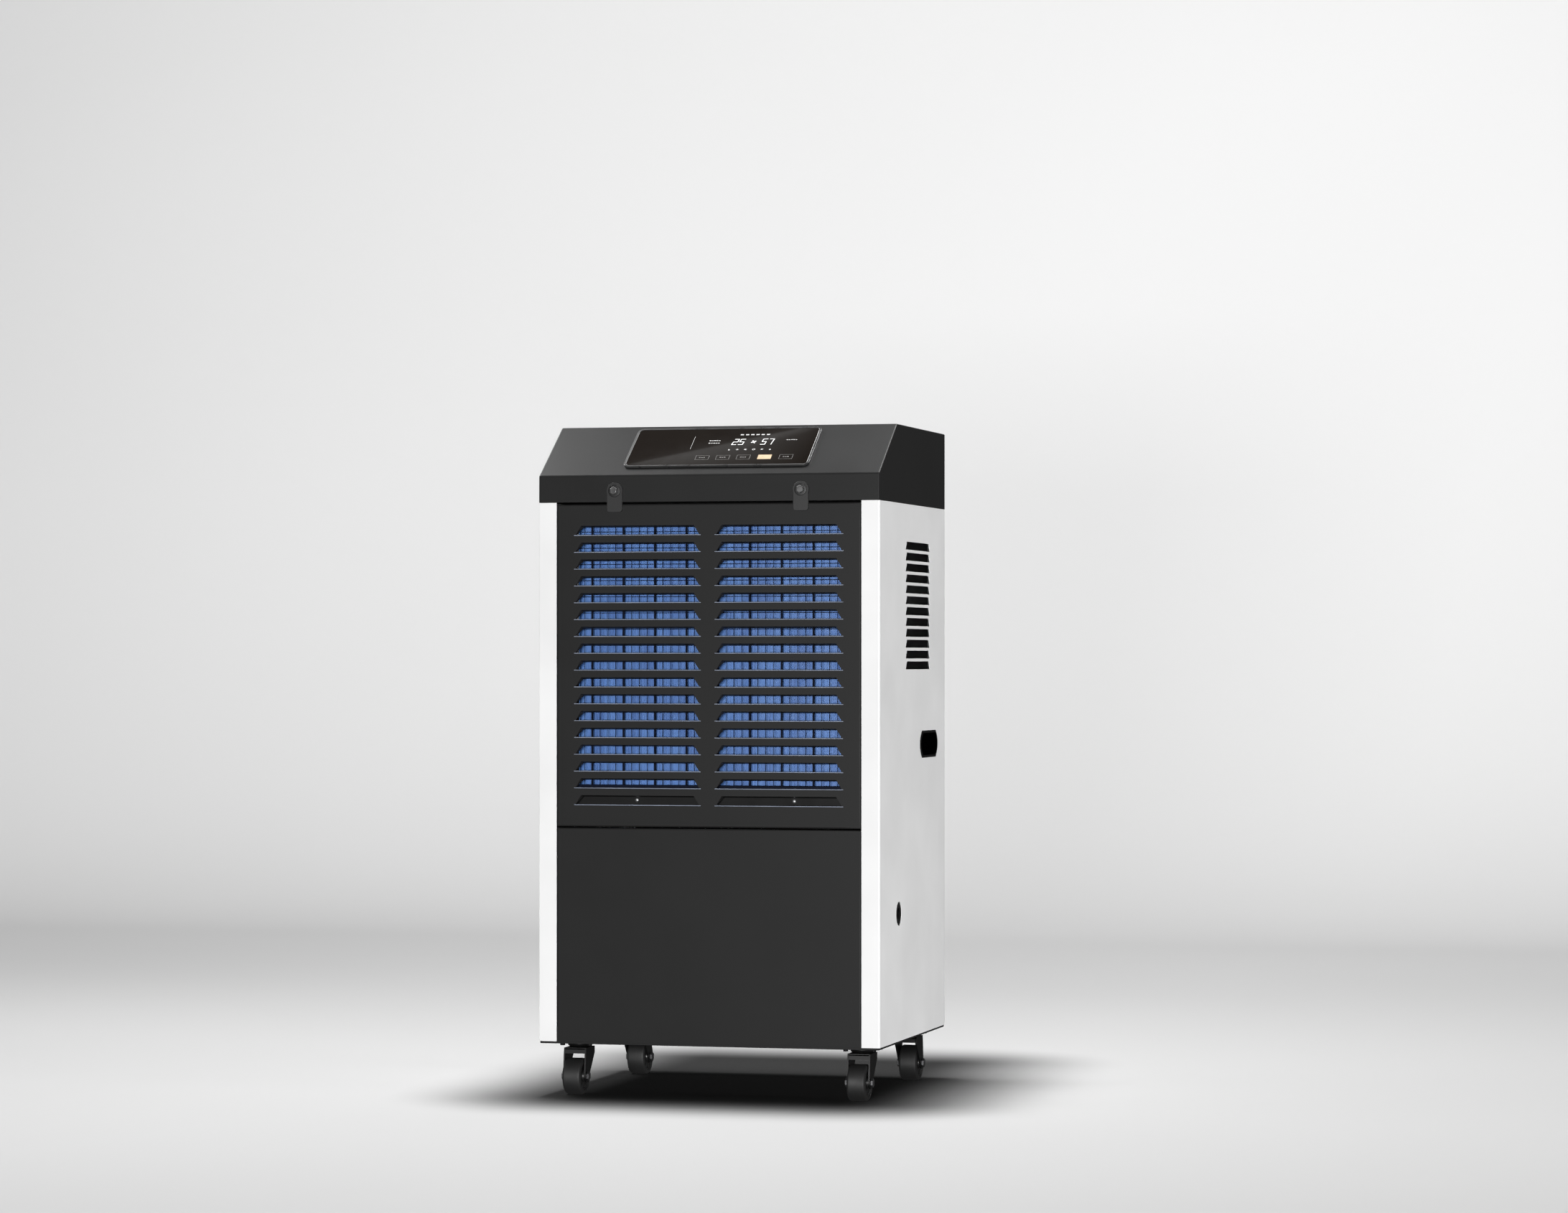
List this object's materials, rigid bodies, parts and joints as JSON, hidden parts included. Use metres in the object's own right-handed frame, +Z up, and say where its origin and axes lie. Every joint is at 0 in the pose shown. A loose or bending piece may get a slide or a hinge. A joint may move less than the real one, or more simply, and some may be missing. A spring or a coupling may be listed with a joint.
{
  "type": "dehumidifier",
  "caption": "Upright commercial dehumidifier on swivel casters, with a louvred intake front, sloping touch control panel, side handles, inner refrigeration circuit and rear fan.",
  "frame": {"origin": "on the floor, under the middle of the cabinet", "axes": "+X to the right seen from the front, +Y from front to back, +Z up"},
  "size_m": [0.4826, 0.43, 0.922],
  "materials": {
    "charcoal_steel": "fine textured powder coat, near black",
    "white_steel": "smooth satin powder coat, white",
    "zinc_steel": "zinc-plated steel, slightly dull",
    "bright_steel": "blackened steel",
    "black_plastic": "moulded black plastic",
    "display_glass": "black printed touch glass, glossy",
    "blue_fins": "blue hydrophilic-coated aluminium fins",
    "aluminium_fins": "bare aluminium fins",
    "copper": "drawn copper tube, slightly dulled",
    "black_enamel": "semi-gloss black enamel",
    "black_rubber": "black rubber",
    "clear_hose": "milky vinyl hose",
    "circuit_board": "green laminate with parts"
  },
  "bodies": {
    "cabinet": {"base_pan": "charcoal_steel", "mid_deck": "zinc_steel", "left_side_panel": "white_steel", "right_side_panel": "white_steel", "right_handle_cup": "black_plastic", "left_handle_cup": "black_plastic", "front_intake_panel": "charcoal_steel", "front_lower_panel": "charcoal_steel", "rear_panel": "white_steel", "cord_gland": "black_plastic", "top_cover": "charcoal_steel", "control_bezel": "black_plastic", "control_glass": "display_glass", "display_board": "circuit_board", "latch_washer_left": "bright_steel", "latch_bolt_left": "bright_steel", "latch_washer_right": "bright_steel", "latch_bolt_right": "bright_steel", "filter_frame": "black_plastic", "evaporator_coil": "blue_fins", "condenser_coil": "aluminium_fins", "drip_tray": "black_plastic", "drain_hose": "clear_hose", "drain_outlet": "black_plastic", "fan_shroud": "charcoal_steel", "fan_motor": "black_enamel", "fan_guard": "bright_steel", "compressor": "black_enamel", "compressor_foot_1": "black_rubber", "compressor_foot_2": "black_rubber", "compressor_foot_3": "black_rubber", "accumulator": "black_enamel", "discharge_pipe": "copper", "suction_pipe": "copper", "liquid_pipe": "copper", "filter_drier": "copper", "capillary_tube": "copper", "electrical_box": "zinc_steel", "control_board": "circuit_board", "run_capacitor": "zinc_steel", "humidity_sensor": "black_plastic", "caster_plate_front_left": "zinc_steel", "caster_plate_front_right": "zinc_steel", "caster_plate_rear_left": "zinc_steel", "caster_plate_rear_right": "zinc_steel"},
    "caster_front_left": {"caster_fork_front_left": "black_enamel", "caster_axle_front_left": "zinc_steel"},
    "wheel_front_left": {"caster_wheel_front_left": "black_rubber"},
    "caster_front_right": {"caster_fork_front_right": "black_enamel", "caster_axle_front_right": "zinc_steel"},
    "wheel_front_right": {"caster_wheel_front_right": "black_rubber"},
    "caster_rear_left": {"caster_fork_rear_left": "black_enamel", "caster_axle_rear_left": "zinc_steel"},
    "wheel_rear_left": {"caster_wheel_rear_left": "black_rubber"},
    "caster_rear_right": {"caster_fork_rear_right": "black_enamel", "caster_axle_rear_right": "zinc_steel"},
    "wheel_rear_right": {"caster_wheel_rear_right": "black_rubber"},
    "fan": {"fan_impeller": "black_plastic"},
    "latch_left": {"latch_tab_left": "charcoal_steel"},
    "latch_right": {"latch_tab_right": "charcoal_steel"}
  },
  "joints": [
    {"name": "caster_swivel_front_left", "type": "hinge", "parent": "cabinet", "child": "caster_front_left", "pos_m": [-0.201, -0.138, 0.064], "axis": [0, 0, 1], "continuous": true},
    {"name": "wheel_spin_front_left", "type": "hinge", "parent": "caster_front_left", "child": "wheel_front_left", "pos_m": [-0.201, -0.158, 0.025], "axis": [1, 0, 0], "continuous": true},
    {"name": "caster_swivel_front_right", "type": "hinge", "parent": "cabinet", "child": "caster_front_right", "pos_m": [0.201, -0.138, 0.064], "axis": [0, 0, 1], "continuous": true},
    {"name": "wheel_spin_front_right", "type": "hinge", "parent": "caster_front_right", "child": "wheel_front_right", "pos_m": [0.201, -0.158, 0.025], "axis": [1, 0, 0], "continuous": true},
    {"name": "caster_swivel_rear_left", "type": "hinge", "parent": "cabinet", "child": "caster_rear_left", "pos_m": [-0.201, 0.138, 0.064], "axis": [0, 0, 1], "continuous": true},
    {"name": "wheel_spin_rear_left", "type": "hinge", "parent": "caster_rear_left", "child": "wheel_rear_left", "pos_m": [-0.201, 0.158, 0.025], "axis": [1, 0, 0], "continuous": true},
    {"name": "caster_swivel_rear_right", "type": "hinge", "parent": "cabinet", "child": "caster_rear_right", "pos_m": [0.201, 0.138, 0.064], "axis": [0, 0, 1], "continuous": true},
    {"name": "wheel_spin_rear_right", "type": "hinge", "parent": "caster_rear_right", "child": "wheel_rear_right", "pos_m": [0.201, 0.158, 0.025], "axis": [1, 0, 0], "continuous": true},
    {"name": "fan_spin", "type": "hinge", "parent": "cabinet", "child": "fan", "pos_m": [0, 0.147, 0.6], "axis": [0, 1, 0], "continuous": true},
    {"name": "latch_turn_left", "type": "hinge", "parent": "cabinet", "child": "latch_left", "pos_m": [-0.131, -0.2068, 0.8294], "axis": [0, 1, 0], "range_deg": [-90, 90]},
    {"name": "latch_turn_right", "type": "hinge", "parent": "cabinet", "child": "latch_right", "pos_m": [0.131, -0.2068, 0.8294], "axis": [0, 1, 0], "range_deg": [-90, 90]}
  ]
}
